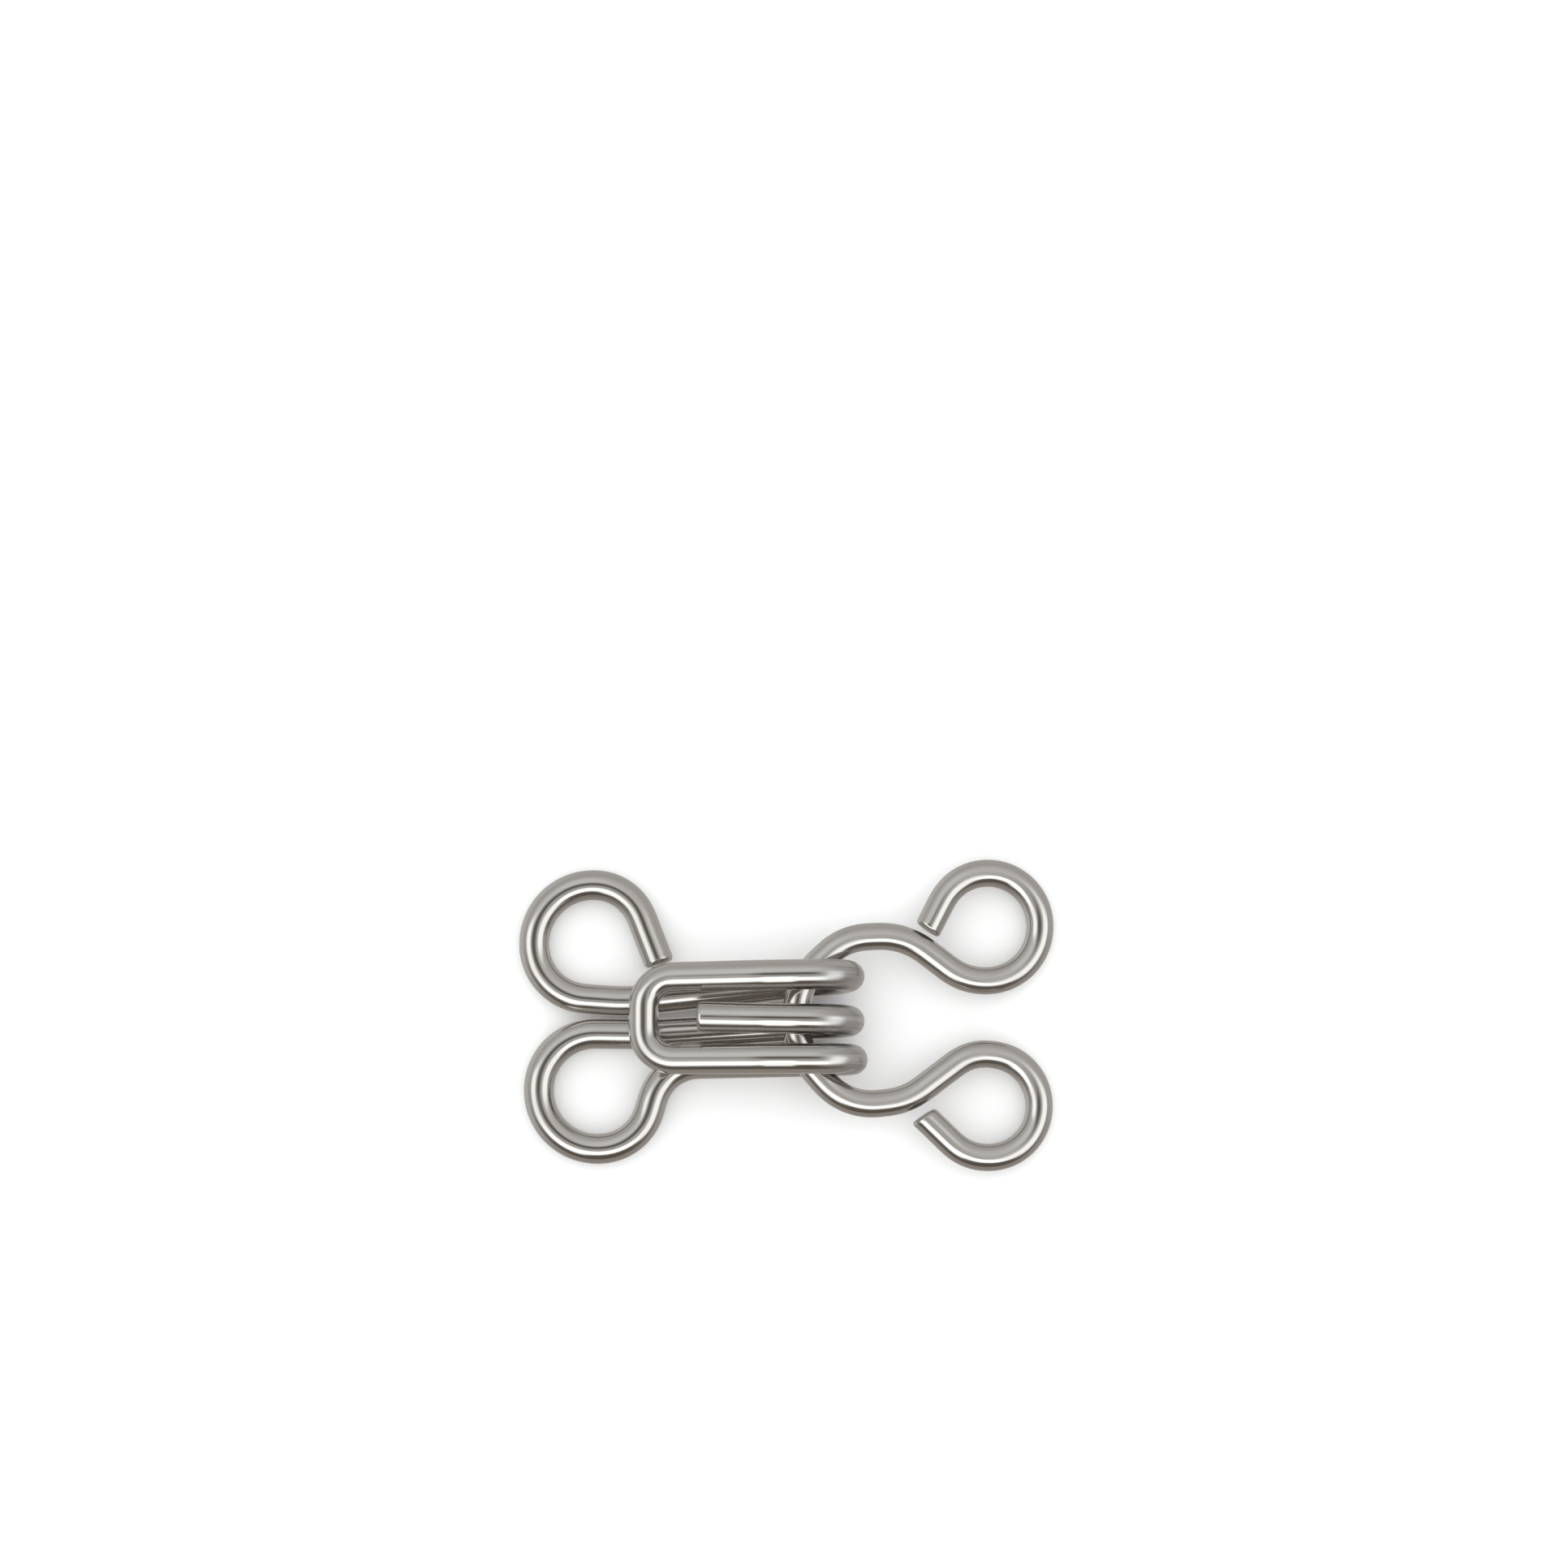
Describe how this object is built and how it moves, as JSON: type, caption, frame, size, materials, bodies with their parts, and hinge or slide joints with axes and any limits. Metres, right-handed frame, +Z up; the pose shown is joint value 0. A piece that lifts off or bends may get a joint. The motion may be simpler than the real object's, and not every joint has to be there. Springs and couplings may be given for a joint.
{
  "type": "hook and eye clasp",
  "caption": "Hook and eye clasp, fastened, for closing a garment; each half is bent from round bright-plated wire, with rings for sewing it to the cloth.",
  "frame": {"origin": "middle of the fastened clasp's length and width, on the surface that it lies on", "axes": "+X along the clasp from the hook's sewing rings to the eye's, +Y across it, +Z up from the cloth through the base strands to the bill"},
  "size_m": [0.0196, 0.0114, 0.0035],
  "materials": {
    "hook_wire": "bright nickel plate on drawn wire",
    "eye_wire": "bright nickel plate on drawn wire"
  },
  "bodies": {
    "root": {"hook": "hook_wire", "eye": "eye_wire"}
  },
  "joints": []
}
